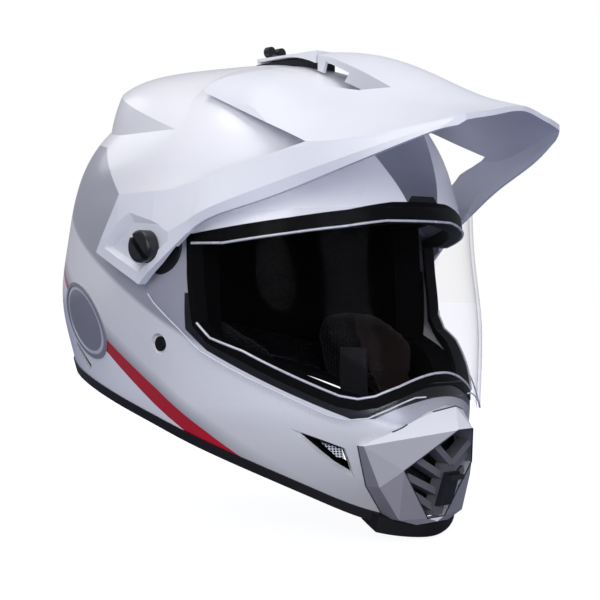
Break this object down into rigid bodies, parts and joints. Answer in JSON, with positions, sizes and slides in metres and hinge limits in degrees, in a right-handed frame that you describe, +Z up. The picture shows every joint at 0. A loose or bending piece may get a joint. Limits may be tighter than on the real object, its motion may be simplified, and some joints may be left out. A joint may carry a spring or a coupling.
{
  "type": "dual sport helmet",
  "caption": "Full-face helmet with a clear hinged face shield, an adjustable sun peak, a faceted breathing mouthpiece and a padded lining.",
  "frame": {"origin": "middle of the head, midway between the shield pivots and just ahead of them", "axes": "+Z up as worn, -Y the way the face looks, +X the wearer's left"},
  "size_m": [0.2726, 0.3701, 0.3139],
  "materials": {
    "shell_paint": "satin lacquer, white over light grey with a red stripe",
    "peak_plastic": "satin white moulding",
    "grey_plastic": "satin grey moulding",
    "black_plastic": "matt black moulding",
    "knob_plastic": "satin black moulding",
    "badge_plastic": "bare grey oval with a light rim",
    "clear_shield": "clear polycarbonate",
    "trim_rubber": "matt black edge rubber",
    "gasket_rubber": "matt black sealing lip",
    "vent_foam": "open black filter foam",
    "vent_mesh": "fine light mesh",
    "eps_foam": "black moulded foam",
    "lining_cloth": "black mesh and brushed cloth",
    "webbing": "black woven webbing",
    "steel": "plated steel"
  },
  "bodies": {
    "shell": {"outer_shell": "shell_paint", "foam_liner": "eps_foam", "chin_foam": "eps_foam", "crown_pad": "lining_cloth", "neck_roll": "lining_cloth", "rim_trim": "trim_rubber", "port_gasket": "gasket_rubber", "brow_vent_foam": "vent_foam", "crown_strip": "black_plastic", "mouth_cover": "grey_plastic", "chin_trim": "trim_rubber", "mouth_grille": "grey_plastic", "mouth_mesh": "vent_mesh", "cheek_pad_left": "lining_cloth", "cheek_pad_right": "lining_cloth", "pivot_plate_left": "black_plastic", "pivot_plate_right": "black_plastic", "exhaust_mesh_left": "vent_mesh", "exhaust_mesh_right": "vent_mesh", "rear_vent_left": "black_plastic", "rear_vent_right": "black_plastic", "badge_left": "badge_plastic", "badge_right": "badge_plastic", "strap_rivet_left": "steel", "strap_rivet_right": "steel", "chin_strap_left": "webbing", "chin_strap_right": "webbing"},
    "shield": {"face_shield": "clear_shield"},
    "peak": {"peak": "peak_plastic", "crown_wedge": "peak_plastic", "side_washer_left": "steel", "side_washer_right": "steel"},
    "knob_left": {"side_knob_left": "knob_plastic"},
    "knob_right": {"side_knob_right": "knob_plastic"},
    "crown_screw": {"wing_screw": "black_plastic"},
    "vent_slider": {"chin_slider": "black_plastic"}
  },
  "joints": [
    {"name": "shield_hinge", "type": "hinge", "parent": "shell", "child": "shield", "pos_m": [0, 0.003, -0.002], "axis": [-1, 0, 0], "range_deg": [0, 35]},
    {"name": "peak_tilt", "type": "hinge", "parent": "shell", "child": "peak", "pos_m": [0, 0.003, -0.002], "axis": [-1, 0, 0], "range_deg": [-2.5, 2.5]},
    {"name": "knob_left_turn", "type": "hinge", "parent": "shell", "child": "knob_left", "pos_m": [0.13, 0.003, -0.002], "axis": [1, 0, 0], "range_deg": [-180, 180]},
    {"name": "knob_right_turn", "type": "hinge", "parent": "shell", "child": "knob_right", "pos_m": [-0.13, 0.003, -0.002], "axis": [-1, 0, 0], "range_deg": [-180, 180]},
    {"name": "crown_screw_turn", "type": "hinge", "parent": "peak", "child": "crown_screw", "pos_m": [0, 0.024, 0.1264], "axis": [0, 0, 1], "range_deg": [-180, 180]},
    {"name": "chin_vent_slide", "type": "slide", "parent": "shell", "child": "vent_slider", "axis": [0, 0.3206, -0.9472], "range_m": [0, 0.006]}
  ]
}
